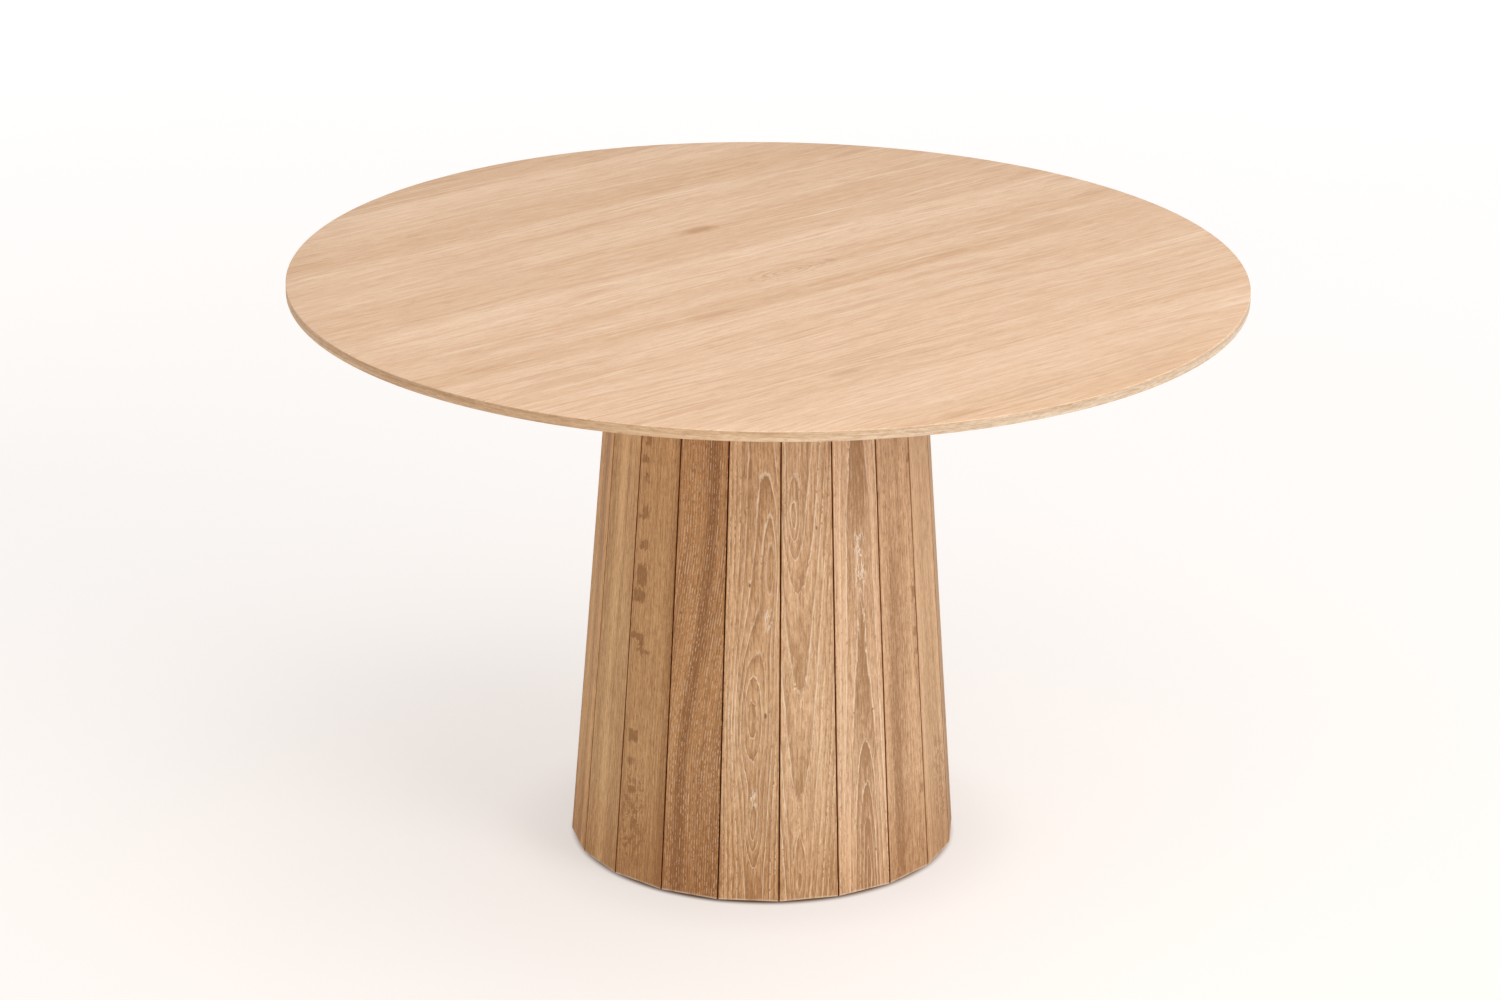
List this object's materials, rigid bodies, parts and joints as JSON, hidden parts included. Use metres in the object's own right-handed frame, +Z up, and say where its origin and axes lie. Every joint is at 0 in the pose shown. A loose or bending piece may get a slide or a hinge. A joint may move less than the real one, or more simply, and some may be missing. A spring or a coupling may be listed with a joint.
{
  "type": "round pedestal table",
  "caption": "Round veneered table top with a thin bevelled edge on a hollow tapered column of solid oak staves, standing on hidden screw feet.",
  "frame": {"origin": "on the floor, on the table's vertical axis", "axes": "+Z up along the column's axis, -Y towards the front, +X to the right; a joint between two staves lies exactly on -Y"},
  "size_m": [1.2, 1.2, 0.75],
  "materials": {
    "oak_face_veneer": "matt lacquered pale oak veneer",
    "oak_balancing_veneer": "plain sealed oak veneer",
    "oak_lipping": "matt lacquered solid oak",
    "stave_oak_pale": "brushed and limed solid oak, pale",
    "stave_oak_honey": "brushed and limed solid oak, honey",
    "stave_oak_brown": "brushed and limed solid oak, brown",
    "fibreboard": "raw medium-density fibreboard",
    "birch_ply": "raw birch plywood",
    "beech_ply": "dark stained thin plywood",
    "ballast_steel": "black powder coat",
    "zinc_steel": "bright zinc plate",
    "black_nylon": "moulded black nylon",
    "grey_felt": "pressed wool felt"
  },
  "bodies": {
    "table": {"top_face_veneer": "oak_face_veneer", "top_core": "fibreboard", "top_balancing_veneer": "oak_balancing_veneer", "rim_lipping_1": "oak_lipping", "rim_lipping_2": "oak_lipping", "rim_lipping_3": "oak_lipping", "rim_lipping_4": "oak_lipping", "rim_lipping_5": "oak_lipping", "rim_lipping_6": "oak_lipping", "rim_lipping_7": "oak_lipping", "rim_lipping_8": "oak_lipping", "top_threaded_inserts": "zinc_steel", "stave_01": "stave_oak_pale", "stave_02": "stave_oak_honey", "stave_03": "stave_oak_brown", "stave_04": "stave_oak_honey", "stave_05": "stave_oak_pale", "stave_06": "stave_oak_honey", "stave_07": "stave_oak_brown", "stave_08": "stave_oak_pale", "stave_09": "stave_oak_honey", "stave_10": "stave_oak_brown", "stave_11": "stave_oak_honey", "stave_12": "stave_oak_honey", "stave_13": "stave_oak_brown", "stave_14": "stave_oak_brown", "stave_15": "stave_oak_honey", "stave_16": "stave_oak_pale", "stave_17": "stave_oak_pale", "stave_18": "stave_oak_honey", "stave_19": "stave_oak_pale", "stave_20": "stave_oak_honey", "stave_tongues": "beech_ply", "top_former": "birch_ply", "middle_former": "birch_ply", "bottom_former": "birch_ply", "ballast_ring": "ballast_steel", "top_bolts": "zinc_steel", "top_bolt_washers": "zinc_steel", "ballast_bolts": "zinc_steel", "ballast_tee_nuts": "zinc_steel", "foot_tee_nuts": "zinc_steel"},
    "foot_1": {"foot_1_pad": "black_nylon", "foot_1_sole": "grey_felt"},
    "screw_1": {"foot_1_screw": "zinc_steel"},
    "foot_2": {"foot_2_pad": "black_nylon", "foot_2_sole": "grey_felt"},
    "screw_2": {"foot_2_screw": "zinc_steel"},
    "foot_3": {"foot_3_pad": "black_nylon", "foot_3_sole": "grey_felt"},
    "screw_3": {"foot_3_screw": "zinc_steel"},
    "foot_4": {"foot_4_pad": "black_nylon", "foot_4_sole": "grey_felt"},
    "screw_4": {"foot_4_screw": "zinc_steel"}
  },
  "joints": [
    {"name": "foot_1_travel", "type": "slide", "parent": "table", "child": "foot_1", "axis": [0, 0, -1], "range_m": [0, 0.012]},
    {"name": "foot_1_turn", "type": "hinge", "parent": "foot_1", "child": "screw_1", "pos_m": [0.12728, 0.12728, 0.03], "axis": [0, 0, -1], "range_deg": [0, 2880]},
    {"name": "foot_2_travel", "type": "slide", "parent": "table", "child": "foot_2", "axis": [0, 0, -1], "range_m": [0, 0.012]},
    {"name": "foot_2_turn", "type": "hinge", "parent": "foot_2", "child": "screw_2", "pos_m": [-0.12728, 0.12728, 0.03], "axis": [0, 0, -1], "range_deg": [0, 2880]},
    {"name": "foot_3_travel", "type": "slide", "parent": "table", "child": "foot_3", "axis": [0, 0, -1], "range_m": [0, 0.012]},
    {"name": "foot_3_turn", "type": "hinge", "parent": "foot_3", "child": "screw_3", "pos_m": [-0.12728, -0.12728, 0.03], "axis": [0, 0, -1], "range_deg": [0, 2880]},
    {"name": "foot_4_travel", "type": "slide", "parent": "table", "child": "foot_4", "axis": [0, 0, -1], "range_m": [0, 0.012]},
    {"name": "foot_4_turn", "type": "hinge", "parent": "foot_4", "child": "screw_4", "pos_m": [0.12728, -0.12728, 0.03], "axis": [0, 0, -1], "range_deg": [0, 2880]}
  ],
  "couplings": [
    {"joint": "foot_1_turn", "follows": "foot_1_travel", "rad_per_m": 4188.8},
    {"joint": "foot_2_turn", "follows": "foot_2_travel", "rad_per_m": 4188.8},
    {"joint": "foot_3_turn", "follows": "foot_3_travel", "rad_per_m": 4188.8},
    {"joint": "foot_4_turn", "follows": "foot_4_travel", "rad_per_m": 4188.8}
  ]
}
